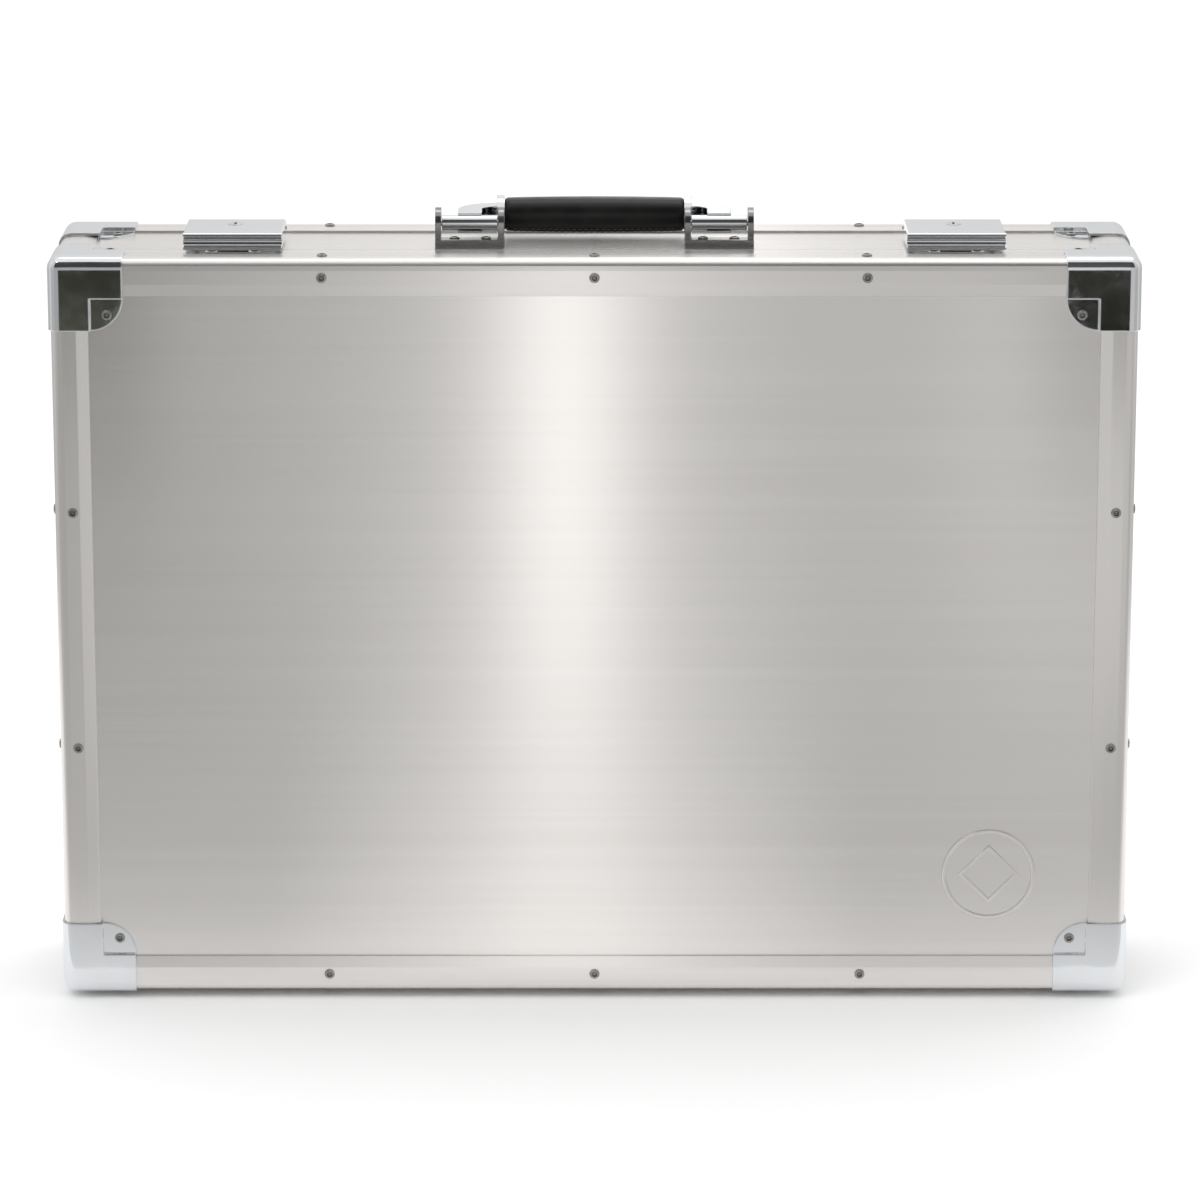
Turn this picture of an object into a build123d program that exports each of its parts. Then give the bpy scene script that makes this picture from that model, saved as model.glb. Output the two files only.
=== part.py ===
"""Hard aluminium carrying case: two half shells hinged along the bottom, with latches and a handle on top.

Frame: millimetres, +Z up, +X along the width. The front of the case faces -Y, and it stands at z = 0.
Each half is described once, with its face towards -Y. The rear half is the deeper one, turned to face +Y.
"""

import os

from build123d import *

# Overall size, over the corner pieces
WIDTH = 550.0
HEIGHT = 388.0
DEPTH = 104.0
LID_DEPTH = 37.5  # front face to the middle of the seam
SEAM_GAP = 0.4
FOOT_HEIGHT = 3.0  # floor to the corner pieces

# Shell build-up, from the outside in
CORNER_SHEET = 1.2  # the corner pieces stand this far outside the trims
TRIM_RISE = 2.0  # the trims stand this far outside the sheets
SHEET = 3.0
LINING = 3.0
LINING_GAP = 0.2  # between a lining's boards
SHEET_OUT = CORNER_SHEET + TRIM_RISE
SHEET_IN = SHEET_OUT + SHEET
FRAME_IN = SHEET_IN + LINING

# Edge trims: an L with a flat rivet band in the middle of each flange
TRIM_WIDTH = 19.0
TRIM_LIP = 1.2  # thickness left at the inner edge of each flange
BAND_START = 6.0
BAND_END = 13.0
TRIM_END_GAP = 8.0  # the long trims stop short of the case corner, inside the corner piece

# Corner pieces
CORNER_LEG = 38.0
CORNER_ROUND = 6.5
CORNER_BAND = 21.4
STEP_WALL = 1.0
RIVET_FROM_BAND = 8.5

# Mouth frames
FRAME_FLANGE = 2.0
FRAME_LEG = 10.0
TONGUE_REACH = 3.0
TONGUE_GAP = 0.4
TONGUE = 1.0

# Rivets
RIVET_HEAD_R = 2.6
RIVET_HEAD = 1.0
RIVET_SHANK_R = 1.6
RIVET_COLUMNS = (-137.0, 0.0, 137.0)
RIVET_ROWS = (-62.0, 62.0)  # from the middle of the height
RIVET_INSET = CORNER_SHEET + (BAND_START + BAND_END) / 2
RIVET_HOLE_R = 1.4

# Feet
FOOT_R = 6.0
FOOT_X = 204.0
FOOT_FROM_FACE = 27.0

# Hinges, below the bottom sheets
HINGE_X = 170.0
HINGE_LENGTH = 40.0
KNUCKLES = 5
KNUCKLE_R = 2.0
HINGE_PIN_R = 1.0
LEAF = 1.0
LEAF_WIDTH = 14.0

# Handle, folded back on the top
HANDLE_X = 63.5  # middle of each handle bracket
HANDLE_BRACKET = (35.0, 20.0, 2.2)
HANDLE_EAR = 3.0
HANDLE_EAR_R = 8.0
HANDLE_PIVOT_Y = -2.0
HANDLE_PIVOT_RISE = 11.5
HANDLE_REACH = 25.0
GRIP_LENGTH = 92.0
GRIP_Y_R = 10.0
GRIP_Z_R = 9.0
CORE_R = 4.0
FERRULE = 4.0

# Latches
LATCH_X = 183.0
LEVER_WIDTH = 50.0
LEVER_WALL = 1.5
LEVER_FRONT = -28.0
LEVER_PIVOT_Y = 12.0
LEVER_PIVOT_RISE = 6.5
LEVER_END_R = 4.2
LATCH_PIN_R = 1.2
LOCK_R = 4.0
LATCH_PLATE = 2.0
KEEPER = 1.2

RUN = 0.05  # radial clearance of a pin in a moving part

# Derived planes
FACE_Y = -DEPTH / 2
SEAM_Y = FACE_Y + LID_DEPTH
TOP = FOOT_HEIGHT + HEIGHT
MID_Z = FOOT_HEIGHT + HEIGHT / 2
TOP_SHEET = TOP - SHEET_OUT
BOTTOM_SHEET = FOOT_HEIGHT + SHEET_OUT
HINGE_Z = BOTTOM_SHEET - KNUCKLE_R - 0.4
HANDLE_PIVOT_Z = TOP_SHEET + HANDLE_PIVOT_RISE
LEVER_PIVOT_Z = TOP_SHEET + LEVER_PIVOT_RISE
GRIP_Y = HANDLE_PIVOT_Y + HANDLE_REACH


def block(x0, x1, y0, y1, z0, z1):
    """A box between two corners."""
    return Pos((x0 + x1) / 2, (y0 + y1) / 2, (z0 + z1) / 2) * Box(x1 - x0, y1 - y0, z1 - z0)


def inset_block(inset, y0, y1):
    """A box with its sides, top and bottom set in from the outside of the corner pieces."""
    return block(-WIDTH / 2 + inset, WIDTH / 2 - inset, y0, y1, FOOT_HEIGHT + inset, TOP - inset)


def rod(radius, length, x, y, z, rotation=(0, 90, 0)):
    """A round bar, along X unless turned."""
    return Pos(x, y, z) * Rot(*rotation) * Cylinder(radius, length)


def flip_x(shape):
    return mirror(shape, about=Plane.YZ)


def flip_y(shape):
    return mirror(shape, about=Plane.XZ)


def flip_z(shape):
    """Top to bottom, about the middle of the case's height."""
    return mirror(shape, about=Plane.XY.offset(MID_Z))


# ---------------------------------------------------------------- edge trims

def trim_section(corner, across, along):
    """The trim's L section. Its outer corner is at corner, and its flanges run towards across and along."""
    points = [
        (3.4, 0.4),
        (BAND_START, 0.0),
        (BAND_END, 0.0),
        (TRIM_WIDTH, TRIM_RISE - TRIM_LIP),
        (TRIM_WIDTH, TRIM_RISE),
        (TRIM_RISE, TRIM_RISE),
        (TRIM_RISE, TRIM_WIDTH),
        (TRIM_RISE - TRIM_LIP, TRIM_WIDTH),
        (0.0, BAND_END),
        (0.0, BAND_START),
        (0.4, 3.4),
    ]
    placed = [(corner[0] + across * a, corner[1] + along * b) for a, b in points]
    round_middle = (corner[0] + across * 1.6, corner[1] + along * 1.6)
    outline = [Polyline(*placed), ThreePointArc(placed[-1], round_middle, placed[0])]
    return make_face(outline)


def long_trim():
    """Top trim, along X."""
    section = trim_section((FACE_Y + CORNER_SHEET, TOP - CORNER_SHEET), 1, -1)
    half_length = WIDTH / 2 - CORNER_SHEET - TRIM_END_GAP
    return extrude(Plane.YZ * section, half_length, both=True)


def short_trim():
    """Left trim, along Z, between the flanges of the long trims."""
    section = trim_section((-WIDTH / 2 + CORNER_SHEET, FACE_Y + CORNER_SHEET), 1, 1)
    half_length = HEIGHT / 2 - CORNER_SHEET - TRIM_WIDTH
    return Pos(0, 0, MID_Z) * extrude(section, half_length, both=True)


def corner_post(mouth):
    """Top left edge of the case, along Y, from the trims to the mouth."""
    start = FACE_Y + CORNER_SHEET + TRIM_WIDTH
    section = trim_section((-WIDTH / 2 + CORNER_SHEET, TOP - CORNER_SHEET), 1, -1)
    plane = Plane((0, mouth, 0), x_dir=(1, 0, 0), z_dir=(0, -1, 0))
    return extrude(plane * section, mouth - start)


# ---------------------------------------------------------------- corner pieces

def rounded_block(start, leg, leg_y, radius):
    """A box whose three edges at its outer corner are rounded, so that they meet in a ball."""
    body = block(start, leg, start, leg_y, start, leg)
    corner = Vector(start, start, start)
    edges = [e for e in body.edges() if min((e @ 0 - corner).length, (e @ 1 - corner).length) < 1e-6]
    return fillet(edges, radius)


def corner_piece(leg_y):
    """The corner piece of the corner at the origin, with its three legs along +X, +Y and +Z."""
    legs = (CORNER_LEG, leg_y, CORNER_LEG)
    shell = rounded_block(0, CORNER_LEG, leg_y, CORNER_ROUND)
    shell -= rounded_block(CORNER_SHEET, CORNER_LEG + 10, leg_y + 10, CORNER_ROUND - CORNER_SHEET)
    for axis in range(3):
        one, two = [i for i in range(3) if i != axis]

        def plate(depth, span_one, span_two):
            spans = [None, None, None]
            spans[axis], spans[one], spans[two] = depth, span_one, span_two
            return block(*spans[0], *spans[1], *spans[2])

        shell -= plate((-1, CORNER_SHEET), (CORNER_BAND, legs[one] + 1), (CORNER_BAND, legs[two] + 1))
        wall = (CORNER_BAND - STEP_WALL, CORNER_BAND)
        shell += plate((0, SHEET_OUT), wall, (wall[0], legs[two]))
        shell += plate((0, SHEET_OUT), (wall[0], legs[one]), wall)
        radius = min(legs[one], legs[two]) - CORNER_BAND
        centre = [CORNER_BAND] * 3
        centre[axis] = SHEET_OUT - STEP_WALL / 2
        turn = ((0, 90, 0), (90, 0, 0), (0, 0, 0))[axis]
        inside = (wall[0] + 0.5, 100)
        disc = rod(radius, STEP_WALL, *centre, turn)
        shell += disc & plate((SHEET_OUT - STEP_WALL, SHEET_OUT), inside, inside)
        hole = [CORNER_BAND + RIVET_FROM_BAND] * 3
        hole[axis] = SHEET_OUT
        shell -= rod(RIVET_SHANK_R, 4, *hole, turn)
    return shell


# ---------------------------------------------------------------- rivets

def rivet(length):
    """A blind rivet, its head on z = 0 and above, its shank below."""
    head = fillet(Cylinder(RIVET_HEAD_R, 2 * RIVET_HEAD).edges().group_by(Axis.Z)[-1], 0.8)
    head &= Pos(0, 0, 5) * Box(10, 10, 10)
    head -= Pos(0, 0, RIVET_HEAD) * Cylinder(RIVET_HOLE_R, 1.6)
    return head + Pos(0, 0, -length / 2) * Cylinder(RIVET_SHANK_R, length)


def face_rivets():
    """Places of the rivets on a half's front, top and left faces, with the direction each head faces."""
    front_y = FACE_Y + CORNER_SHEET
    row = TOP - RIVET_INSET
    column = -WIDTH / 2 + RIVET_INSET
    side_y = FACE_Y + RIVET_INSET
    front = [(x, front_y, z) for x in RIVET_COLUMNS for z in (row, 2 * MID_Z - row)]
    front += [(x, front_y, MID_Z + dz) for x in (column, -column) for dz in RIVET_ROWS]
    top = [(x, side_y, TOP - CORNER_SHEET) for x in RIVET_COLUMNS]
    left = [(-WIDTH / 2 + CORNER_SHEET, side_y, MID_Z + dz) for dz in RIVET_ROWS]
    return front, top, left


def corner_rivets():
    """Places of the rivets of the top left corner piece: one on its front, top and left faces each."""
    sunk = SHEET_OUT - STEP_WALL
    out = CORNER_BAND + RIVET_FROM_BAND
    x, y, z = -WIDTH / 2, FACE_Y, TOP
    return (x + out, y + sunk, z - out), (x + out, y + out, z - sunk), (x + sunk, y + out, z - out)


def place_all(shape_of):
    """Rivets, or their holes, over a whole half. shape_of gives the shape for a shank length."""
    thick = shape_of(TRIM_RISE + SHEET)
    thin = shape_of(STEP_WALL + SHEET)
    turn = {"front": Rot(90, 0, 0), "top": Rot(0, 0, 0), "left": Rot(0, -90, 0)}
    front, top, left = face_rivets()
    shapes = [Pos(*p) * turn["front"] * thick for p in front]
    upper = [Pos(*p) * turn["top"] * thick for p in top]
    side = [Pos(*p) * turn["left"] * thick for p in left]
    on_front, on_top, on_left = corner_rivets()
    quarter = [Pos(*on_front) * turn["front"] * thin]
    quarter += [Pos(*on_top) * turn["top"] * thin, Pos(*on_left) * turn["left"] * thin]
    shapes += upper + [flip_z(s) for s in upper] + side + [flip_x(s) for s in side]
    shapes += quarter + [flip_x(s) for s in quarter]
    shapes += [flip_z(s) for s in quarter] + [flip_z(flip_x(s)) for s in quarter]
    return shapes


def fixings():
    """Rivets of the fittings: half, wall, fitting, the place of each head, and the fitting's thickness."""
    keeper = [(LATCH_X + dx, SEAM_Y - 4.5, TOP_SHEET + KEEPER) for dx in (-11, 11)]
    plate = [(LATCH_X + dx, SEAM_Y + 6.5, TOP_SHEET + LATCH_PLATE) for dx in (-15, 15)]
    bracket = [(HANDLE_X + dx, HANDLE_PIVOT_Y + 6, TOP_SHEET + HANDLE_BRACKET[2]) for dx in (-8, 8)]
    leaf_y = KNUCKLE_R + 0.5 + LEAF_WIDTH / 2
    lid_leaf = [(HINGE_X + dx, SEAM_Y - leaf_y, BOTTOM_SHEET - LEAF) for dx in (-13, 13)]
    base_leaf = [(HINGE_X + dx, SEAM_Y + leaf_y, BOTTOM_SHEET - LEAF) for dx in (-13, 13)]
    return [
        ("lid", "wall_top", "latch_keeper", keeper, KEEPER),
        ("base", "wall_top", "latch_plate", plate, LATCH_PLATE),
        ("base", "wall_top", "handle_bracket", bracket, HANDLE_BRACKET[2]),
        ("lid", "wall_bottom", "hinge_lid_leaf", lid_leaf, LEAF),
        ("base", "wall_bottom", "hinge_base_leaf", base_leaf, LEAF),
    ]


def add_fixings(nodes):
    """Rivets every fitting to its wall, through holes in both, on the right and on the left."""
    for half, wall, fitting, places, thick in fixings():
        turn = Rot(0, 0, 0) if wall == "wall_top" else Rot(180, 0, 0)
        fixed = [Pos(*p) * turn * rivet(thick + SHEET) for p in places]
        holes = [Pos(*p) * turn * Cylinder(RIVET_SHANK_R, 4 * SHEET) for p in places]
        nodes[fitting + "_right"] -= holes
        nodes[fitting + "_left"] = flip_x(nodes[fitting + "_right"])
        nodes[f"{half}_{wall}"] -= holes + [flip_x(h) for h in holes]
        nodes[f"{half}_rivets"] += fixed + [flip_x(r) for r in fixed]


# ---------------------------------------------------------------- one half of the case

def mouth_frame(mouth, with_tongue):
    """Channel that closes the edges of the sheets all round the mouth, flush with their outside."""
    ring = inset_block(SHEET_OUT, mouth - FRAME_LEG, mouth) - inset_block(FRAME_IN, -100, 100)
    ring -= inset_block(0, mouth - 50, mouth - FRAME_FLANGE) - inset_block(SHEET_IN, -100, 100)
    if with_tongue:
        outer = FRAME_IN + TONGUE_GAP
        tongue = inset_block(FRAME_IN, mouth - FRAME_LEG / 2, mouth)
        tongue += inset_block(outer, mouth - 1, mouth + TONGUE_REACH)
        ring += tongue - inset_block(outer + TONGUE, -100, 100)
    return ring


def lining_boards(start, end):
    """The board against the panel and the four along the walls."""
    left, bottom, top = -WIDTH / 2 + SHEET_IN, FOOT_HEIGHT + SHEET_IN, TOP - SHEET_IN
    side_start = start + LINING + LINING_GAP
    upper = block(left, -left, side_start, end, top - LINING, top)
    inset = LINING + LINING_GAP
    side = block(left, left + LINING, side_start, end, bottom + inset, top - inset)
    return [inset_block(SHEET_IN, start, start + LINING), upper, flip_z(upper), side, flip_x(side)]


def half_shell(depth, with_tongue):
    """All pieces of one half, with its face towards -Y. depth is from the face to the mouth."""
    mouth = FACE_Y + depth
    sheet_y = FACE_Y + SHEET_OUT
    inner_y = FACE_Y + SHEET_IN
    wall_end = mouth - FRAME_FLANGE
    holes = place_all(lambda length: Pos(0, 0, -length / 2) * Cylinder(RIVET_SHANK_R, length + 1))
    low, high = BOTTOM_SHEET, TOP_SHEET
    left = -WIDTH / 2 + SHEET_OUT

    top_wall = block(left, -left, inner_y, wall_end, high - SHEET, high)
    left_wall = block(left, left + SHEET, inner_y, wall_end, low + SHEET, high - SHEET)
    pieces = {
        "panel": inset_block(SHEET_OUT, sheet_y, inner_y) - holes,
        "wall_top": top_wall - holes,
        "wall_bottom": flip_z(top_wall) - holes,
        "wall_left": left_wall - holes,
        "wall_right": flip_x(left_wall) - holes,
    }
    pieces["trim_top"] = long_trim() - holes
    pieces["trim_bottom"] = flip_z(long_trim()) - holes
    pieces["trim_left"] = short_trim() - holes
    pieces["trim_right"] = flip_x(short_trim()) - holes

    post = corner_post(mouth)
    posts = [post, flip_x(post), flip_z(post), flip_z(flip_x(post))]
    pieces["corner_posts"] = posts
    pieces["mouth_frame"] = mouth_frame(mouth, with_tongue)

    leg_y = min(CORNER_LEG, depth - 0.3)
    corner = Pos(-WIDTH / 2, FACE_Y, FOOT_HEIGHT) * corner_piece(leg_y)
    pieces["corner_bottom_left"] = corner
    pieces["corner_bottom_right"] = flip_x(corner)
    pieces["corner_top_left"] = flip_z(corner)
    pieces["corner_top_right"] = flip_z(flip_x(corner))
    pieces["rivets"] = place_all(rivet)

    pieces["lining"] = lining_boards(inner_y, mouth - FRAME_LEG)

    foot_top = BOTTOM_SHEET
    foot = fillet(Cylinder(FOOT_R, foot_top).edges().group_by(Axis.Z)[0], 1.0)
    foot = Pos(-FOOT_X, FACE_Y + FOOT_FROM_FACE, foot_top / 2) * foot
    pieces["feet"] = [foot, flip_x(foot)]
    return pieces


# ---------------------------------------------------------------- hinges

def hinge_leaf(side):
    """One leaf. side is -1 for the lid's leaf, with the even knuckles, and 1 for the base's leaf."""
    pitch = HINGE_LENGTH / KNUCKLES
    gap = 0.2
    edge = KNUCKLE_R + 0.5
    ends = sorted((SEAM_Y + side * edge, SEAM_Y + side * (edge + LEAF_WIDTH)))
    under = BOTTOM_SHEET - LEAF
    x0 = HINGE_X - HINGE_LENGTH / 2
    leaf = block(x0, x0 + HINGE_LENGTH, *ends, under, BOTTOM_SHEET)
    tab = sorted((SEAM_Y, SEAM_Y + side * (edge + 1)))
    own = [i for i in range(KNUCKLES) if i % 2 == (0 if side > 0 else 1)]
    for i in own:
        middle = x0 + (i + 0.5) * pitch
        width = pitch - 2 * gap
        leaf += block(middle - width / 2, middle + width / 2, *tab, under, under + 0.5)
        leaf += rod(KNUCKLE_R, width, middle, SEAM_Y, HINGE_Z)
    bore = HINGE_PIN_R if side > 0 else HINGE_PIN_R + RUN
    return leaf - rod(bore, HINGE_LENGTH + 2, HINGE_X, SEAM_Y, HINGE_Z)


# ---------------------------------------------------------------- latches

def latch_plate():
    """Base plate on the rear half's top, with the two ears that carry the lever's pin."""
    plate = block(-22, 22, SEAM_Y + 2, LEVER_PIVOT_Y + 6, TOP_SHEET, TOP_SHEET + LATCH_PLATE)
    for x in (-21, 21):
        ear = block(x - 1, x + 1, LEVER_PIVOT_Y - 2.2, LEVER_PIVOT_Y + 2.2, TOP_SHEET, LEVER_PIVOT_Z)
        plate += ear + rod(2.3, 2, x, LEVER_PIVOT_Y, LEVER_PIVOT_Z)
    return plate - rod(LATCH_PIN_R, 60, 0, LEVER_PIVOT_Y, LEVER_PIVOT_Z)


def latch_lever():
    """Cover-shaped lever, open underneath, with a hollow along its front for a fingertip."""
    low, high = LEVER_PIVOT_Z - LEVER_END_R, LEVER_PIVOT_Z + LEVER_END_R
    back = (LEVER_PIVOT_Y, low), (LEVER_PIVOT_Y + LEVER_END_R, LEVER_PIVOT_Z), (LEVER_PIVOT_Y, high)
    brow = (LEVER_FRONT + 2.8, high), (LEVER_FRONT + 1.4, high - 0.5), (LEVER_FRONT + 1.0, high - 1.5)
    hollow = brow[-1], (LEVER_FRONT + 3.2, high - 4.4), (LEVER_FRONT, low + 1.3)
    outline = [
        ThreePointArc(*back),
        Line(back[-1], brow[0]),
        ThreePointArc(*brow),
        ThreePointArc(*hollow),
        Polyline(hollow[-1], (LEVER_FRONT, low), back[0]),
    ]
    lever = extrude(Plane.YZ * make_face(outline), LEVER_WIDTH / 2, both=True)
    ends = [e for e in lever.edges() if abs(abs(e.center().X) - LEVER_WIDTH / 2) < 1e-6]
    sides = [e for e in ends if e.center().Z > high - 0.3]
    lever = fillet(sides[:2], 1.0)
    inner = LEVER_WIDTH / 2 - LEVER_WALL
    lever -= block(-inner, inner, LEVER_FRONT + 4.7, 40, low - 1, high - LEVER_WALL)
    lever += Pos(0, 0, LEVER_PIVOT_Z) * Cylinder(6, 2 * (LEVER_END_R - LEVER_WALL))
    lever -= Pos(0, 0, LEVER_PIVOT_Z) * Cylinder(LOCK_R + RUN, 30)
    return lever - rod(LATCH_PIN_R + RUN, 60, 0, LEVER_PIVOT_Y, LEVER_PIVOT_Z)


def latch_claw():
    """Claw under the lever that comes down over the keeper."""
    top = LEVER_PIVOT_Z + LEVER_END_R - LEVER_WALL
    claw = block(-8, 8, LEVER_FRONT + 7.5, LEVER_FRONT + 9, TOP_SHEET + 3.2, top)
    claw += block(-8, 8, LEVER_FRONT + 5, LEVER_FRONT + 9, TOP_SHEET + 3.2, TOP_SHEET + 4.4)
    return claw + block(-8, 8, LEVER_FRONT + 7.5, LEVER_FRONT + 15, top - 1.2, top)


def latch_keeper():
    """Keeper on the lid's top, under the lever's front."""
    keeper = block(-14, 14, LEVER_FRONT + 1, SEAM_Y - 2.2, TOP_SHEET, TOP_SHEET + KEEPER)
    return keeper + rod(1.2, 16, 0, LEVER_FRONT + 6.5, TOP_SHEET + 1.3)


def lock_cylinder():
    """Key cylinder in the lever, with its keyway and the cam below it."""
    low, high = TOP_SHEET + 3.4, LEVER_PIVOT_Z + LEVER_END_R + 0.3
    body = Pos(0, 0, (low + high) / 2) * Cylinder(LOCK_R, high - low)
    body = fillet(body.edges().group_by(Axis.Z)[-1], 0.3)
    body -= block(-0.6, 0.6, -2.5, 2.5, high - 2, high + 1)
    return body + block(-1.5, 1.5, -6, 3, low - 0.9, low + 0.1)


# ---------------------------------------------------------------- handle

def handle_bracket():
    """Right handle bracket: a base plate, a low front lip and two ears with rounded tops."""
    width, depth, thick = HANDLE_BRACKET
    x0, x1 = HANDLE_X - width / 2, HANDLE_X + width / 2
    y0, y1 = HANDLE_PIVOT_Y - depth / 2, HANDLE_PIVOT_Y + depth / 2
    bracket = block(x0, x1, y0, y1, TOP_SHEET, TOP_SHEET + thick)
    bracket += block(x0, x1, y0, y0 + 2, TOP_SHEET, TOP_SHEET + 2 * thick)
    ear_top = HANDLE_PIVOT_Z
    for x in (x0 + HANDLE_EAR / 2, x1 - HANDLE_EAR / 2):
        ear = block(x - HANDLE_EAR / 2, x + HANDLE_EAR / 2, HANDLE_PIVOT_Y - HANDLE_EAR_R,
                    HANDLE_PIVOT_Y + HANDLE_EAR_R, TOP_SHEET, ear_top)
        bracket += ear + rod(HANDLE_EAR_R, HANDLE_EAR, x, HANDLE_PIVOT_Y, ear_top)
    return bracket - rod(1.5, width + 2, HANDLE_X, HANDLE_PIVOT_Y, HANDLE_PIVOT_Z)


def handle_pin():
    return rod(1.5, HANDLE_BRACKET[0], HANDLE_X, HANDLE_PIVOT_Y, HANDLE_PIVOT_Z)


def handle_arm():
    """Right arm, from the hinge barrel between the ears to the end of the grip."""
    end_x = GRIP_LENGTH / 2 + FERRULE
    y0, y1 = HANDLE_PIVOT_Y, GRIP_Y
    inner, outer = HANDLE_X - 6, HANDLE_X + 6
    outline = [
        Polyline((inner, y0), (inner, y0 + 10)),
        ThreePointArc((inner, y0 + 10), (inner - 2, y0 + 18), (end_x, y1 - 4.5)),
        Line((end_x, y1 - 4.5), (end_x, y1 + 4.5)),
        ThreePointArc((end_x, y1 + 4.5), (outer - 3.5, y1 - 3), (outer, y0 + 8)),
        Polyline((outer, y0 + 8), (outer, y0), (inner, y0)),
    ]
    arm = Pos(0, 0, HANDLE_PIVOT_Z) * extrude(make_face(outline), 5, both=True)
    ears_in = HANDLE_BRACKET[0] / 2 - HANDLE_EAR - 0.4
    arm += rod(CORE_R, 2 * ears_in, HANDLE_X, HANDLE_PIVOT_Y, HANDLE_PIVOT_Z)
    return arm


def handle_bail():
    """Both arms and the steel core inside the grip, in one piece."""
    arm = handle_arm()
    bail = arm + flip_x(arm)
    bail += rod(CORE_R, GRIP_LENGTH + 2 * FERRULE + 2, 0, GRIP_Y, HANDLE_PIVOT_Z)
    bore = rod(1.5 + RUN, 60, HANDLE_X, HANDLE_PIVOT_Y, HANDLE_PIVOT_Z)
    return bail - bore - flip_x(bore)


def oval(y_radius, z_radius, x0, x1):
    """An oval bar along X, round the middle line of the grip."""
    middle, half = (x0 + x1) / 2, (x1 - x0) / 2
    face = Plane.YZ * Pos(GRIP_Y, HANDLE_PIVOT_Z) * Ellipse(y_radius, z_radius)
    return Pos(middle, 0, 0) * extrude(face, half, both=True)


def handle_grip():
    half = GRIP_LENGTH / 2
    return oval(GRIP_Y_R, GRIP_Z_R, -half, half) - rod(CORE_R, 200, 0, GRIP_Y, HANDLE_PIVOT_Z)


def handle_ferrule():
    half = GRIP_LENGTH / 2
    ring = oval(GRIP_Y_R + 0.8, GRIP_Z_R + 0.8, half, half + FERRULE)
    return ring - rod(CORE_R, 200, 0, GRIP_Y, HANDLE_PIVOT_Z)


# ---------------------------------------------------------------- the whole case

def whole_case():
    """Every node's shape, or list of shapes, by name."""
    nodes = {}
    for name, shape in half_shell(LID_DEPTH - SEAM_GAP / 2, False).items():
        nodes["lid_" + name] = shape
    for name, shape in half_shell(DEPTH - LID_DEPTH - SEAM_GAP / 2, True).items():
        nodes["base_" + name] = [flip_y(s) for s in shape] if isinstance(shape, list) else flip_y(shape)

    pair = {
        "hinge_lid_leaf": hinge_leaf(-1),
        "hinge_base_leaf": hinge_leaf(1),
        "handle_bracket": handle_bracket(),
        "latch_plate": Pos(LATCH_X, 0, 0) * latch_plate(),
        "latch_lever": Pos(LATCH_X, 0, 0) * latch_lever(),
        "latch_claw": Pos(LATCH_X, 0, 0) * latch_claw(),
        "latch_keeper": Pos(LATCH_X, 0, 0) * latch_keeper(),
        "latch_pin": rod(LATCH_PIN_R, LEVER_WIDTH + 0.8, LATCH_X, LEVER_PIVOT_Y, LEVER_PIVOT_Z),
        "lock_cylinder": Pos(LATCH_X, 0, 0) * lock_cylinder(),
    }
    for name, shape in pair.items():
        nodes[name + "_right"] = shape
        nodes[name + "_left"] = flip_x(shape)

    hinge_pin = rod(HINGE_PIN_R, HINGE_LENGTH, HINGE_X, SEAM_Y, HINGE_Z)
    for name, shape in {"hinge_pins": hinge_pin, "handle_pins": handle_pin(),
                        "handle_ferrules": handle_ferrule()}.items():
        nodes[name] = [shape, flip_x(shape)]
    nodes["handle_bail"] = handle_bail()
    nodes["handle_grip"] = handle_grip()
    add_fixings(nodes)
    return nodes


os.makedirs("parts", exist_ok=True)
for node, made in whole_case().items():
    solids = made if isinstance(made, list) else [made]
    export_step(Compound(children=[s for shape in solids for s in shape.solids()]), f"parts/{node}.step")
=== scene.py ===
"""Looks of the hard aluminium case.

The camera, the studio, the materials, and the soft and fine pieces that the CAD leaves plain.
"""

import math

import bmesh
import bpy
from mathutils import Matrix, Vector


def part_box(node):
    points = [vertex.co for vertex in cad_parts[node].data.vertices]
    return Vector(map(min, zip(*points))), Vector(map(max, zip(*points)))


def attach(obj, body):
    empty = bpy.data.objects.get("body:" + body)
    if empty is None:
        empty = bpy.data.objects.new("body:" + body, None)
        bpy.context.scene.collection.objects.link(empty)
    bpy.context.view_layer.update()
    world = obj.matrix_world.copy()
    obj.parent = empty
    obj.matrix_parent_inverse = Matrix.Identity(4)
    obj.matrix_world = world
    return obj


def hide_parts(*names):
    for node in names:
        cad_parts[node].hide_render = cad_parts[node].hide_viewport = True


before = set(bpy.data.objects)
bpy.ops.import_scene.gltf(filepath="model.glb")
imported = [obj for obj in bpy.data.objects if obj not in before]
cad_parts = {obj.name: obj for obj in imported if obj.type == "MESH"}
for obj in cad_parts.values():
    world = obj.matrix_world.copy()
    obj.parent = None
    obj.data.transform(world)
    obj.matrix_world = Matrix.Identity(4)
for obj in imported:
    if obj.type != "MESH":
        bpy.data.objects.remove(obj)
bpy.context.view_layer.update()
MM = 0.001


# ---------------------------------------------------------------- places, from the frame

def corners(node):
    low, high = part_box(node)
    return Vector(low), Vector(high)


SHELL_LOW, _ = corners("lid_corner_bottom_left")
_, SHELL_HIGH = corners("base_corner_top_right")
FACE_Y = SHELL_LOW.y
SHELL_MIDDLE = (SHELL_LOW + SHELL_HIGH) / 2


# ---------------------------------------------------------------- camera

CAMERA_DISTANCE = 2.6  # from the front face
CAMERA_RISE = 0.50  # above the top of the shell
CAMERA_SHIFT = -0.10
AIM_BELOW_TOP = 0.1145  # the point of the front face on the camera's axis
LENS = 158.5
SIDE_SHIFT = 0.0046


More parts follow.
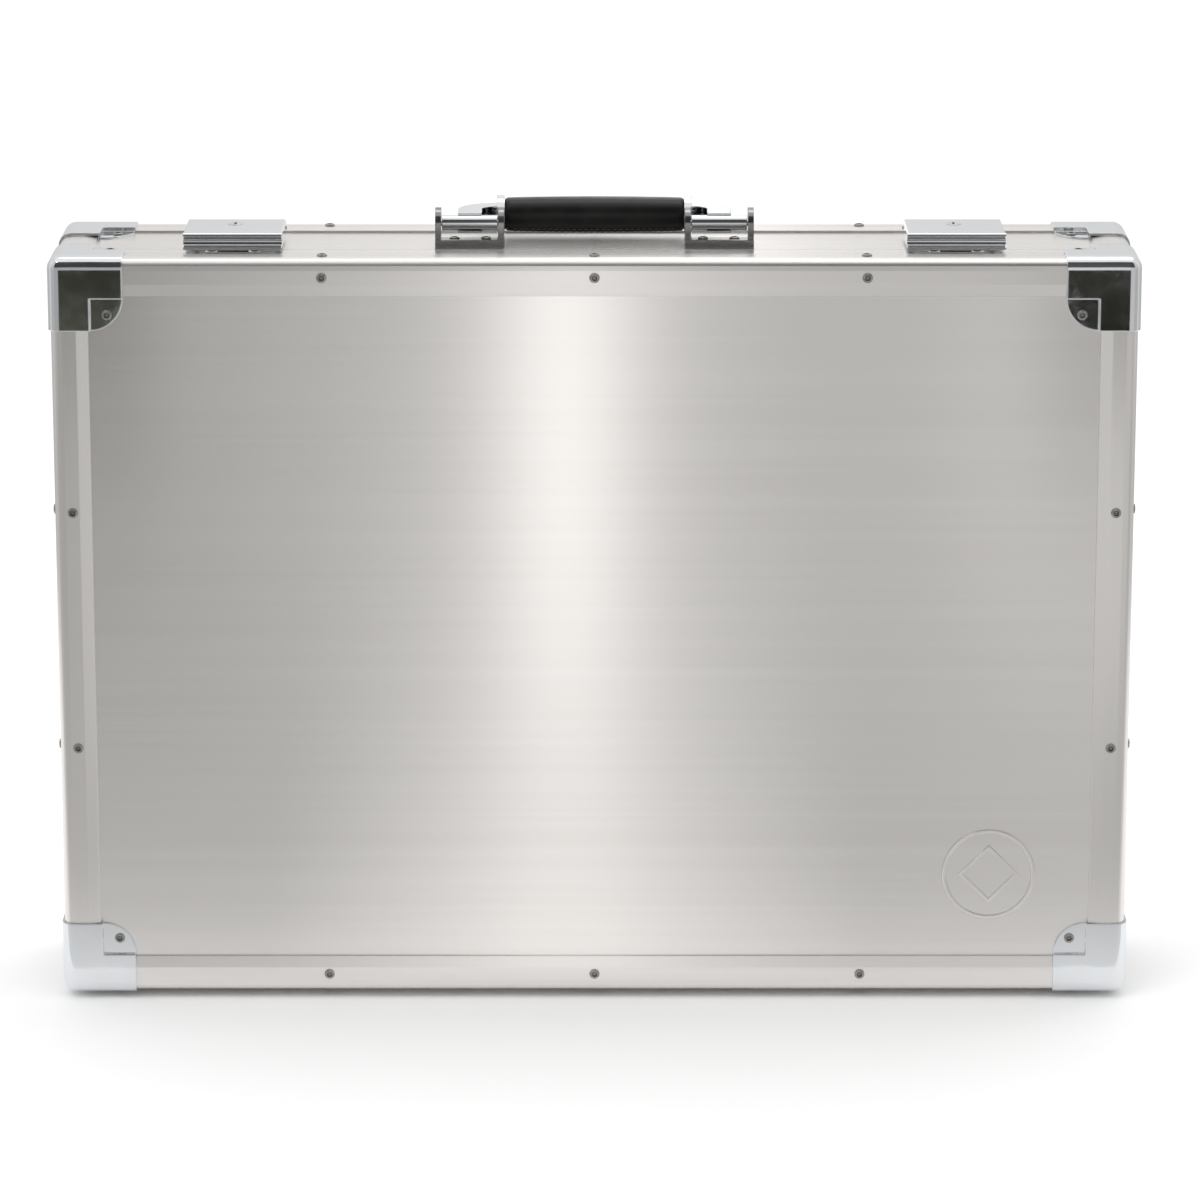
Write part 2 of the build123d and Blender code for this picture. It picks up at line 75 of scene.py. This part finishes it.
def add_camera():
    data = bpy.data.cameras.new("camera")
    camera = bpy.data.objects.new("camera", data)
    bpy.context.scene.collection.objects.link(camera)
    camera.location = (SHELL_MIDDLE.x, FACE_Y - CAMERA_DISTANCE, SHELL_HIGH.z + CAMERA_RISE)
    aim = Vector((SHELL_MIDDLE.x, FACE_Y, SHELL_HIGH.z - AIM_BELOW_TOP))
    camera.rotation_euler = (aim - camera.location).to_track_quat("-Z", "Y").to_euler()
    data.lens = LENS
    data.sensor_width = 36
    data.shift_x = SIDE_SHIFT
    data.shift_y = CAMERA_SHIFT
    data.clip_end = 100
    bpy.context.scene.camera = camera


# ---------------------------------------------------------------- node helpers

class Shader:
    """A material being built: add nodes, join them, and set the principled shader's sockets."""

    def __init__(self, name, **sockets):
        self.material = bpy.data.materials.new(name)
        self.material.use_nodes = True
        self.tree = self.material.node_tree
        self.surface = self.tree.nodes["Principled BSDF"]
        for key, value in sockets.items():
            self.surface.inputs[key.replace("_", " ")].default_value = value

    def node(self, kind, inputs=None, **settings):
        made = self.tree.nodes.new("ShaderNode" + kind)
        for key, value in settings.items():
            setattr(made, key, value)
        for key, value in (inputs or {}).items():
            self.put(made.inputs[key], value)
        return made

    def put(self, socket, value):
        if isinstance(value, bpy.types.NodeSocket):
            self.tree.links.new(value, socket)
        else:
            socket.default_value = value

    def place(self, stretch=(1, 1, 1)):
        """The object's own coordinates in metres, stretched."""
        inputs = {"Vector": self.node("TexCoord").outputs["Object"], "Scale": stretch}
        return self.node("Mapping", inputs).outputs["Vector"]

    def noise(self, scale, stretch=(1, 1, 1), detail=3.0, rough=0.5):
        inputs = {"Vector": self.place(stretch), "Scale": scale, "Detail": detail, "Roughness": rough}
        return self.node("TexNoise", inputs).outputs["Fac"]

    def span(self, value, low, high, from_low=0.0, from_high=1.0):
        inputs = {"Value": value, "To Min": low, "To Max": high, "From Min": from_low, "From Max": from_high}
        return self.node("MapRange", inputs).outputs["Result"]

    def math(self, operation, one, two=0.0):
        made = self.node("Math", operation=operation)
        self.put(made.inputs[0], one)
        self.put(made.inputs[1], two)
        return made.outputs["Value"]

    def mix(self, factor, one, two):
        made = self.node("Mix", data_type="RGBA")
        self.put(made.inputs[0], factor)
        self.put(made.inputs[6], one)
        self.put(made.inputs[7], two)
        return made.outputs[2]

    def bump(self, height, distance, strength=1.0, normal=None):
        inputs = {"Height": height, "Distance": distance, "Strength": strength}
        if normal is not None:
            inputs["Normal"] = normal
        return self.node("Bump", inputs).outputs["Normal"]

    def edges(self, radius):
        """A normal that rounds sharp edges by eye."""
        return self.node("Bevel", {"Radius": radius}, samples=6).outputs["Normal"]

    def set(self, **links):
        for key, value in links.items():
            self.put(self.surface.inputs[key.replace("_", " ")], value)
        return self.material


def grey(value, warm=0.0):
    return (value * (1 + warm), value, value * (1 - warm), 1.0)


# ---------------------------------------------------------------- materials

GRAIN = {"X": (0.012, 1, 1), "Y": (1, 0.012, 1), "Z": (1, 1, 0.012)}


def brushed(name, colour, rough, along, aniso, edge):
    """Brushed or drawn aluminium, its grain along one axis."""
    s = Shader(name, Metallic=1.0, Anisotropic=aniso)
    fine = s.noise(430, GRAIN[along], 3, 0.6)
    middling = s.noise(150, GRAIN[along], 2, 0.5)
    broad = s.noise(60, GRAIN[along], 2, 0.5)
    streaks = s.math("ADD", s.math("MULTIPLY", fine, 0.2), s.math("MULTIPLY", middling, 0.4))
    streaks = s.math("ADD", streaks, s.math("MULTIPLY", broad, 0.4))
    dark, light = grey(colour * 0.96, 0.034), grey(colour * 1.01, 0.030)
    tone = s.mix(s.span(streaks, 0, 1, 0.35, 0.65), dark, light)
    roughness = s.span(streaks, rough - 0.008, rough + 0.008, 0.25, 0.75)
    tangent = s.node("Tangent", direction_type="RADIAL", axis=along).outputs["Tangent"]
    normal = s.bump(fine, 0.00002, 0.05, s.edges(edge))
    return s.set(Base_Color=tone, Roughness=roughness, Tangent=tangent, Normal=normal)


def plated(name, colour, rough, edge=0.0006, blue=0.0, pressed=0.0):
    """Bright plating with dust and fine scratches, and slow waves in it where it is pressed from sheet."""
    s = Shader(name, Metallic=1.0)
    ripple = s.noise(24, (1, 1, 1), 2, 0.4)
    scratch = s.noise(500, (1, 0.05, 1), 2, 0.7)
    dust = s.noise(38, (1, 1, 1), 5, 0.7)
    dusty = s.span(dust, rough, rough + 0.10, 0.45, 0.75)
    roughness = s.math("ADD", dusty, s.span(scratch, 0, 0.03, 0.5, 0.8))
    base = (colour * (1 - blue), colour, colour * (1 + blue), 1)
    dull = (colour * 0.9, colour * 0.88, colour * 0.85, 1)
    tone = s.mix(s.span(dust, 0, 0.35, 0.55, 0.8), base, dull)
    normal = s.bump(ripple, 0.001, 0.04 + pressed, s.edges(edge))
    return s.set(Base_Color=tone, Roughness=roughness, Normal=normal)


def rivet_steel():
    """Worn heads, with painted shade that darkens the pit where the mandrel broke off."""
    s = Shader("rivet_steel", Metallic=1.0)
    spots = s.noise(900, (1, 1, 1), 3, 0.6)
    tone = s.mix(s.span(spots, 0, 1, 0.35, 0.65), (0.26, 0.25, 0.235, 1), (0.46, 0.45, 0.43, 1))
    # Painted shade: ambient occlusion darkens the tone to near black inside the rivet's recess.
    painted_pit_shade = s.node("AmbientOcclusion", {"Distance": 0.0022}, samples=8, only_local=True).outputs["AO"]
    tone = s.mix(s.span(painted_pit_shade, 1, 0, 0.45, 0.85), tone, (0.035, 0.030, 0.027, 1))
    return s.set(Base_Color=tone, Roughness=s.span(spots, 0.30, 0.48, 0.3, 0.7), Normal=s.edges(0.0003))


def rubber():
    s = Shader("rubber", Specular_IOR_Level=0.35)
    grain = s.noise(1800, (1, 1, 1), 2, 0.5)
    tone = s.mix(grain, (0.010, 0.010, 0.010, 1), (0.024, 0.024, 0.025, 1))
    return s.set(Base_Color=tone, Roughness=s.span(grain, 0.55, 0.75), Normal=s.bump(grain, 0.0002, 0.4))


MATERIALS = {
    "sheet_x": lambda: brushed("sheet_brushed", 0.80, 0.26, "X", 0.85, 0.0004),
    "sheet_z": lambda: brushed("sheet_brushed_upright", 0.80, 0.26, "Z", 0.85, 0.0004),
    "trim_x": lambda: brushed("trim_drawn", 0.79, 0.30, "X", 0.45, 0.0006),
    "trim_y": lambda: brushed("trim_drawn_deep", 0.79, 0.30, "Y", 0.45, 0.0006),
    "trim_z": lambda: brushed("trim_drawn_upright", 0.79, 0.30, "Z", 0.45, 0.0006),
    "corner": lambda: plated("corner_plating", 0.78, 0.06, 0.0010, 0.025, 0.9),
    "chrome": lambda: plated("chrome", 0.76, 0.05, 0.0006, 0.02, 0.15),
    "bracket": lambda: plated("bracket_plating", 0.27, 0.15, 0.0004, 0.0, 0.1),
    "nickel": lambda: plated("nickel", 0.66, 0.14, 0.0003),
    "pin": lambda: plated("pin_steel", 0.55, 0.22, 0.0003),
    "rivet": rivet_steel,
    "rubber": rubber,
}


def finish_of(node):
    """The finish that a CAD node keeps."""
    if "rivets" in node:
        return "rivet"
    if "feet" in node:
        return "rubber"
    if "pin" in node:
        return "pin"
    if "hinge" in node or "lock_cylinder" in node:
        return "nickel"
    if "posts" in node:
        return "trim_y"
    if "corner" in node:
        return "corner"
    if "bracket" in node:
        return "bracket"
    if "trim" in node or "mouth_frame" in node:
        return "trim_z" if node.endswith(("_left", "_right")) else "trim_x"
    if "panel" in node or "wall" in node:
        return "sheet_z" if node.endswith(("_left", "_right")) else "sheet_x"
    return "chrome"


def dress_cad():
    made = {key: make() for key, make in MATERIALS.items()}
    for name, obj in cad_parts.items():
        obj.data.materials.clear()
        obj.data.materials.append(made[finish_of(name)])
    return made


# ---------------------------------------------------------------- piece helpers

def add_piece(name, mesh, material, body):
    obj = bpy.data.objects.new(name, mesh)
    bpy.context.scene.collection.objects.link(obj)
    mesh.materials.clear()
    mesh.materials.append(material)
    for face in mesh.polygons:
        face.use_smooth = True
    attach(obj, body)
    return obj


def mesh_of(name, bm):
    bmesh.ops.recalc_face_normals(bm, faces=bm.faces)
    mesh = bpy.data.meshes.new(name)
    bm.to_mesh(mesh)
    bm.free()
    return mesh


def loft(bm, rings, closed=False):
    """Skins rings that have the same count of points, and caps the ends unless the loft is closed."""
    made = [[bm.verts.new(p) for p in ring] for ring in rings]
    count = len(made[0])
    pairs = list(zip(made, made[1:] + made[:1])) if closed else list(zip(made, made[1:]))
    for one, two in pairs:
        for i in range(count):
            j = (i + 1) % count
            bm.faces.new((one[i], one[j], two[j], two[i]))
    if not closed:
        bm.faces.new(made[0])
        bm.faces.new(reversed(made[-1]))


def oval_point(turn, y_radius, z_radius, power=2.0):
    """A point of a squared oval, at an angle from +Y towards +Z."""
    c, s = math.cos(turn), math.sin(turn)
    y = math.copysign(abs(c) ** (2 / power), c) * y_radius
    z = math.copysign(abs(s) ** (2 / power), s) * z_radius
    return y, z


# ---------------------------------------------------------------- handle grip

GRIP_SQUARENESS = 2.35
SEAM_TURN = -2.2  # below, on the side of the fingers
STITCH_OFFSET = 0.16  # of each row from the seam, as a turn
STITCH_PITCH = 3.0 * MM
STITCH_THICK = 0.42 * MM


def grip_leather():
    s = Shader("grip_leather", Specular_IOR_Level=0.22, Coat_Weight=0.12, Coat_Roughness=0.15)
    cells = s.node("TexVoronoi", {"Vector": s.place(), "Scale": 1500.0}, feature="DISTANCE_TO_EDGE")
    pores = s.span(cells.outputs["Distance"], 0, 1, 0.0, 0.25)
    wear = s.noise(55, (1, 1, 1), 4, 0.6)
    tone = s.mix(s.span(wear, 0, 1, 0.45, 0.8), (0.004, 0.0037, 0.0035, 1), (0.012, 0.011, 0.010, 1))
    normal = s.bump(pores, 0.00006, 0.6)
    return s.set(Base_Color=tone, Roughness=s.span(wear, 0.28, 0.46, 0.35, 0.7), Normal=normal)


def thread(name, colour):
    s = Shader(name, Roughness=0.7, Sheen_Weight=0.3)
    twist = s.node("TexWave", {"Vector": s.place(), "Scale": 900.0}, bands_direction="DIAGONAL")
    tone = s.mix(twist.outputs["Fac"], grey(colour * 0.5), grey(colour))
    return s.set(Base_Color=tone, Normal=s.bump(twist.outputs["Fac"], 0.0001, 0.5))


def stitch_row(bm, points, thick):
    """Short rounded stitches, one between each pair of points."""
    for start, end in points:
        along = end - start
        turn = along.to_track_quat("X", "Z").to_matrix().to_4x4()
        made = bmesh.ops.create_uvsphere(bm, u_segments=8, v_segments=6, radius=1.0)["verts"]
        bmesh.ops.scale(bm, verts=made, vec=(along.length / 2, thick, thick))
        bmesh.ops.transform(bm, verts=made, matrix=turn)
        bmesh.ops.translate(bm, verts=made, vec=(start + end) / 2)


def grip_swell(x, half_length):
    """How much of its full section the grip has at a distance from its middle."""
    if abs(x) >= half_length:
        return 0.93
    return 0.93 + 0.07 * math.cos(x / half_length * math.pi / 2) ** 0.8


def handle_grip(leather):
    """The leather wrap: swollen in the middle, turned in at its ends, with a sewn seam underneath."""
    low, high = corners("handle_grip")
    middle, half = (low + high) / 2, (high - low) / 2
    turns = 64
    stations = 72

    def section(x, shrink):
        swell = grip_swell(x, half.x)
        ring = []
        for k in range(turns):
            turn = 2 * math.pi * k / turns
            away = math.atan2(math.sin(turn - SEAM_TURN), math.cos(turn - SEAM_TURN))
            groove = 1 - 0.035 * math.exp(-(away / 0.10) ** 2)
            y, z = oval_point(turn, half.y, half.z, GRIP_SQUARENESS)
            ring.append(middle + Vector((x, y * swell * shrink * groove, z * swell * shrink * groove)))
        return ring

    rings = []
    for k in range(stations + 1):
        x = -half.x + 2 * half.x * k / stations
        edge = min(1.0, (half.x - abs(x)) / (2.2 * MM))
        rings.append(section(x, 0.90 + 0.10 * math.sqrt(1 - (1 - edge) ** 2)))
    bm = bmesh.new()
    loft(bm, rings)
    grip = add_piece("grip_wrap", mesh_of("grip_wrap", bm), leather, "handle")
    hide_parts("handle_grip")

    bm = bmesh.new()
    count = int((2 * half.x - 8 * MM) / STITCH_PITCH)
    reach = Vector((0.36 * STITCH_PITCH, 0, 0))
    rows = []
    for offset in (-STITCH_OFFSET, STITCH_OFFSET):
        y, z = oval_point(SEAM_TURN + offset, half.y, half.z, GRIP_SQUARENESS)
        for k in range(count):
            x = (k - (count - 1) / 2) * STITCH_PITCH
            swell = grip_swell(x, half.x)
            spot = middle + Vector((x, y * swell, z * swell))
            rows.append((spot - reach, spot + reach))
    stitch_row(bm, rows, STITCH_THICK)
    stitches = mesh_of("grip_stitches", bm)
    add_piece("grip_stitches", stitches, thread("grip_thread", 0.05), "handle")


# ---------------------------------------------------------------- linings

def lining_cloth():
    """Short-pile cloth, charcoal, with a fine weave under the nap."""
    s = Shader("lining_cloth", Sheen_Weight=0.6, Sheen_Roughness=0.5, Specular_IOR_Level=0.2)
    yarns = {"Vector": s.place(), "Scale": 260.0, "Distortion": 0.6}
    warp = s.node("TexWave", yarns, bands_direction="X")
    weft = s.node("TexWave", yarns, bands_direction="Z")
    weave = s.math("MULTIPLY", warp.outputs["Fac"], weft.outputs["Fac"])
    nap = s.noise(2400, (1, 1, 1), 2, 0.6)
    brushed_nap = s.noise(16, (1, 0.6, 1), 3, 0.5)
    dark, light = (0.030, 0.031, 0.034, 1), (0.055, 0.056, 0.060, 1)
    tone = s.mix(s.span(brushed_nap, 0, 1, 0.35, 0.7), dark, light)
    tone = s.mix(s.span(nap, 0, 0.5, 0.4, 0.8), tone, (0.085, 0.086, 0.092, 1))
    height = s.math("ADD", s.math("MULTIPLY", weave, 0.5), nap)
    return s.set(Base_Color=tone, Roughness=s.span(nap, 0.82, 0.95), Normal=s.bump(height, 0.00035, 0.7))


def rounded_ring(centre, half_x, half_z, y, radius, steps):
    """A rounded rectangle upright in XZ at one depth."""
    points = []
    for quarter in range(4):
        sx, sz = ((1, 1), (-1, 1), (-1, -1), (1, -1))[quarter]
        for k in range(steps + 1):
            turn = math.pi / 2 * (quarter + k / steps)
            x = centre.x + sx * (half_x - radius) + radius * math.cos(turn)
            z = centre.z + sz * (half_z - radius) + radius * math.sin(turn)
            points.append(Vector((x, y, z)))
    return points


def lining(half, cloth):
    """A tray of padded cloth: a quilted floor, a soft cove round it, and a rolled hem at the mouth."""
    node = half + "_lining"
    body = "lid" if half == "lid" else "case"
    low, high = corners(node)
    centre = (low + high) / 2
    out = high - centre
    deep = 1 if half == "base" else -1  # from the mouth towards the panel
    mouth_y, back_y = (low.y, high.y) if deep > 0 else (high.y, low.y)
    wall, hem, round_by, steps = 2.6 * MM, 1.3 * MM, 3 * MM, 6

    bm = bmesh.new()
    rings = [rounded_ring(centre, out.x, out.z, back_y, round_by, steps)]
    rings.append(rounded_ring(centre, out.x, out.z, mouth_y + deep * hem, round_by, steps))
    for k in range(7):
        turn = math.pi * k / 6
        inset = hem * (1 - math.cos(turn))
        y = mouth_y + deep * hem * (1 - math.sin(turn))
        rings.append(rounded_ring(centre, out.x - inset, out.z - inset, y, round_by, steps))
    cove = 9 * MM
    floor_y = back_y - deep * wall
    for k in range(9):
        turn = math.pi / 2 * k / 8
        inset = wall + cove * (1 - math.cos(turn))
        y = floor_y - deep * cove * (1 - math.sin(turn))
        radius = round_by + 0.3 * inset
        rings.append(rounded_ring(centre, out.x - inset, out.z - inset, y, radius, steps))
    loft(bm, rings)
    tray = add_piece(node + "_tray", mesh_of(node + "_tray", bm), cloth, body)
    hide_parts(node)

    # The quilted pad on the floor of the tray
    pad_x, pad_z = out.x - wall - 6 * MM, out.z - wall - 6 * MM
    cell, loft_height = 46 * MM, 3.2 * MM
    columns, rows = 150, 104

    def swell(x, z):
        edge = min(pad_x - abs(x), pad_z - abs(z)) / (10 * MM)
        border = math.sqrt(1 - (1 - min(1.0, max(0.0, edge))) ** 2)
        u, v = (x + z) / cell, (x - z) / cell
        quilt = (abs(math.sin(math.pi * u)) * abs(math.sin(math.pi * v))) ** 0.42
        return border * (0.30 + 0.70 * quilt)

    bm = bmesh.new()
    grid = []
    for i in range(columns + 1):
        x = -pad_x + 2 * pad_x * i / columns
        line = []
        for j in range(rows + 1):
            z = -pad_z + 2 * pad_z * j / rows
            y = floor_y - deep * loft_height * swell(x, z)
            line.append(bm.verts.new((centre.x + x, y, centre.z + z)))
        grid.append(line)
    for i in range(columns):
        for j in range(rows):
            bm.faces.new((grid[i][j], grid[i + 1][j], grid[i + 1][j + 1], grid[i][j + 1]))
    rim = [e for e in bm.edges if e.is_boundary]
    made = bmesh.ops.extrude_edge_only(bm, edges=rim)["geom"]
    under = [v for v in made if isinstance(v, bmesh.types.BMVert)]
    bmesh.ops.translate(bm, verts=under, vec=(0, deep * 0.4 * MM, 0))
    bmesh.ops.contextual_create(bm, geom=[e for e in bm.edges if e.is_boundary])
    pad = add_piece(node + "_pad", mesh_of(node + "_pad", bm), cloth, body)


# ---------------------------------------------------------------- embossed mark

MARK_FROM_RIGHT = 72 * MM  # centre of the mark, from the shell's right side
MARK_FROM_BOTTOM = 64 * MM
MARK_SIZE = 23 * MM
MARK_RAISE = 0.45 * MM
MARK_BAND = 2.2 * MM
DIAMOND_REACH = 0.62 * MARK_SIZE


def band_outline(bm, points, width, y, raise_by):
    """A raised closed band along a flat outline in XZ, with a rounded top."""
    count = len(points)
    rings = []
    for i in range(count):
        before, here, after = points[i - 1], points[i], points[(i + 1) % count]
        d1, d2 = (here - before).normalized(), (after - here).normalized()
        normal = Vector((d1.y + d2.y, -(d1.x + d2.x))).normalized()
        grow = 1 / max(0.5, normal.dot(Vector((d1.y, -d1.x))))
        ring = []
        for across, up in ((-1, 0), (-0.75, 0.7), (-0.35, 1), (0.35, 1), (0.75, 0.7), (1, 0)):
            spot = here + normal * (across * width / 2 * grow)
            ring.append(Vector((spot.x, y - up * raise_by, spot.y)))
        rings.append(ring)
    loft(bm, rings, closed=True)


def embossed_mark(material):
    """A plain ring with a diamond in it: a stand-in that is nobody's mark."""
    x = SHELL_HIGH.x - MARK_FROM_RIGHT
    z = SHELL_LOW.z + MARK_FROM_BOTTOM
    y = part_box("lid_panel")[0][1] + 0.02 * MM
    bm = bmesh.new()
    ring = [Vector((x, z)) + MARK_SIZE * Vector((math.cos(t), math.sin(t))) for t in
            (2 * math.pi * k / 72 for k in range(72))]
    band_outline(bm, ring, MARK_BAND, y, MARK_RAISE)
    diamond = [Vector((x + DIAMOND_REACH * dx, z + DIAMOND_REACH * dz)) for dx, dz in
               ((1, 0), (0, 1), (-1, 0), (0, -1))]
    band_outline(bm, diamond, MARK_BAND, y, MARK_RAISE)
    add_piece("panel_mark", mesh_of("panel_mark", bm), material, "lid")


# ---------------------------------------------------------------- studio

WALL_Y = -0.60  # a gradient card in front of the case, seen only in its reflections
WALL_LIT = 0.48  # its bright part reaches this high, and above it is dark
WALL_TOP = 1.5
FLOOR_NEAR = 0.04  # the grey of the floor starts this far from the front of the case
SIDE_X = 0.95
BACK_Y = 0.65
CARD_REACH = 1.6  # half the width of the widest cards
FLAG_LOW, FLAG_HIGH = 0.215, 0.31
FLAG_INNER, FLAG_OUTER = 0.270, 0.40
FLAG_COLOUR = (1.0, 0.98, 0.76, 1)
FLOOR_REACH = 40.0
WORLD_STRENGTH = 1.03


def reflection_only(name, points, material):
    """A card that shows in nothing but the reflections."""
    mesh = bpy.data.meshes.new(name)
    mesh.from_pydata(points, [], [(0, 1, 2, 3)])
    mesh.materials.append(material)
    card = bpy.data.objects.new(name, mesh)
    bpy.context.scene.collection.objects.link(card)
    card.visible_camera = False
    card.visible_shadow = False
    card.visible_diffuse = False


def upright(x0, y0, x1, y1, z0, z1):
    return [(x0, y0, z0), (x1, y1, z0), (x1, y1, z1), (x0, y0, z1)]


def glow(s, strength, colour=(1, 1, 1, 1)):
    """Turns a material being built into a plain light of the given strength."""
    s.surface.inputs["Base Color"].default_value = (0, 0, 0, 1)
    s.surface.inputs["Specular IOR Level"].default_value = 0
    s.surface.inputs["Emission Color"].default_value = colour
    return s.set(Emission_Strength=strength)


def axes(s):
    split = s.node("SeparateXYZ", {"Vector": s.place()})
    return split.outputs["X"], split.outputs["Y"], split.outputs["Z"]


def hill(s, value, centre, width, height):
    """A bell of light along one axis."""
    across = s.math("DIVIDE", s.math("SUBTRACT", value, centre), width)
    bell = s.math("EXPONENT", s.math("MULTIPLY", s.math("MULTIPLY", across, across), -1))
    return s.math("MULTIPLY", bell, height)


def total(s, parts):
    light = parts[0]
    for part in parts[1:]:
        light = s.math("ADD", light, part)
    return light


def front_wall():
    """Bright in the middle and falling off sideways: a brushed panel draws it as an upright streak."""
    s = Shader("front_wall")
    x, _, z = axes(s)
    light = total(s, [
        hill(s, x, -0.018, 0.036, 0.88),
        hill(s, x, -0.035, 0.15, 0.16),
        hill(s, x, 0.30, 0.08, 0.20),
        s.span(x, 0.44, 0.62, -0.4, 0.4),
    ])
    lit = s.span(z, 1, 0.12, WALL_LIT, WALL_LIT + 0.06)
    points = upright(-CARD_REACH, WALL_Y, CARD_REACH, WALL_Y, 0.0, WALL_TOP)
    reflection_only("front_wall", points, glow(s, s.math("MULTIPLY", light, lit)))


def back_wall():
    """Greyer than the sky: it gives the back panel and the top their tone."""
    s = Shader("back_wall")
    x, _, z = axes(s)
    light = total(s, [
        hill(s, x, 0.05, 0.07, 0.40),
        hill(s, x, 0.0, 0.22, 0.12),
        s.span(z, 0.52, 0.86, 0.0, 0.75),
    ])
    points = upright(-CARD_REACH, BACK_Y, CARD_REACH, BACK_Y, 0.0, WALL_TOP)
    reflection_only("back_wall", points, glow(s, light))


def side_walls():
    for side in (-1, 1):
        s = Shader("side_wall")
        _, y, z = axes(s)
        light = total(s, [
            hill(s, y, -0.02, 0.05, 0.40),
            hill(s, y, 0.2, 0.2, 0.10),
            s.span(z, 0.42, 0.72, 0.0, 0.7),
        ])
        x = side * SIDE_X
        points = upright(x, WALL_Y, x, BACK_Y, 0.0, WALL_TOP)
        reflection_only(f"side_wall_{side}", points, glow(s, light))


def floor_card():
    """Greys the floor in the reflections of the lower panel and trims, less so near the case."""
    near, far = FACE_Y - FLOOR_NEAR, WALL_Y
    s = Shader("floor_card")
    x, y, _ = axes(s)
    off_middle = s.math("ABSOLUTE", s.math("ADD", x, 0.015))
    by_foot = s.span(y, 0.0, 0.30, near - 0.16, near)
    light = s.math("ADD", s.span(off_middle, 0.88, 0.50, 0.02, 0.16), by_foot)
    reach, z = CARD_REACH, 0.004
    points = [(-reach, far, z), (reach, far, z), (reach, near, z), (-reach, near, z)]
    reflection_only("floor_card", points, glow(s, light))


def flags():
    """Small dark olive cards that the upper front corner pieces reflect."""
    for side, bottom, top in ((-1, 0.10, 0.012), (1, 0.008, 0.04)):
        s = Shader("flag")
        x, _, z = axes(s)
        upwards = s.span(z, bottom, top, FLAG_LOW, FLAG_HIGH)
        light = s.math("MULTIPLY", upwards, s.span(x, 0.75, 1.25, FLAG_INNER * side, 0.35 * side))
        x0, x1 = sorted((side * FLAG_INNER, side * FLAG_OUTER))
        points = upright(x0, WALL_Y + 0.02, x1, WALL_Y + 0.02, FLAG_LOW, FLAG_HIGH)
        reflection_only(f"flag_{side}", points, glow(s, light, FLAG_COLOUR))


def area(name, width, height, place, towards, power):
    data = bpy.data.lights.new(name, "AREA")
    data.shape = "RECTANGLE"
    data.size, data.size_y = width, height
    data.energy = power
    lamp = bpy.data.objects.new(name, data)
    bpy.context.scene.collection.objects.link(lamp)
    lamp.location = place
    lamp.rotation_euler = (Vector(towards) - Vector(place)).to_track_quat("-Z", "Y").to_euler()


def floor():
    mesh = bpy.data.meshes.new("floor")
    r = FLOOR_REACH
    mesh.from_pydata([(-r, -r, 0), (r, -r, 0), (r, r, 0), (-r, r, 0)], [], [(0, 1, 2, 3)])
    obj = bpy.data.objects.new("floor", mesh)
    bpy.context.scene.collection.objects.link(obj)
    s = Shader("floor", Roughness=0.8, Specular_IOR_Level=0.1)
    mesh.materials.append(s.set(Base_Color=s.mix(s.noise(0.4), grey(0.955), grey(0.965))))


def studio():
    scene = bpy.context.scene
    scene.view_settings.view_transform = "Standard"
    world = bpy.data.worlds.new("studio")
    scene.world = world
    world.use_nodes = True
    world.node_tree.nodes["Background"].inputs["Color"].default_value = (1, 1, 1, 1)
    world.node_tree.nodes["Background"].inputs["Strength"].default_value = WORLD_STRENGTH
    floor()
    front_wall()
    back_wall()
    side_walls()
    floor_card()
    flags()
    middle = tuple(SHELL_MIDDLE)
    area("key", 1.2, 1.2, (-1.2, -1.6, 2.6), middle, 12)
    area("top", 1.6, 1.0, (0.3, 0.6, 2.4), middle, 8)


# ---------------------------------------------------------------- build

add_camera()
studio()
finishes = dress_cad()
handle_grip(grip_leather())
cloth = lining_cloth()
for shell_half in ("base", "lid"):
    lining(shell_half, cloth)
embossed_mark(finishes["sheet_x"])
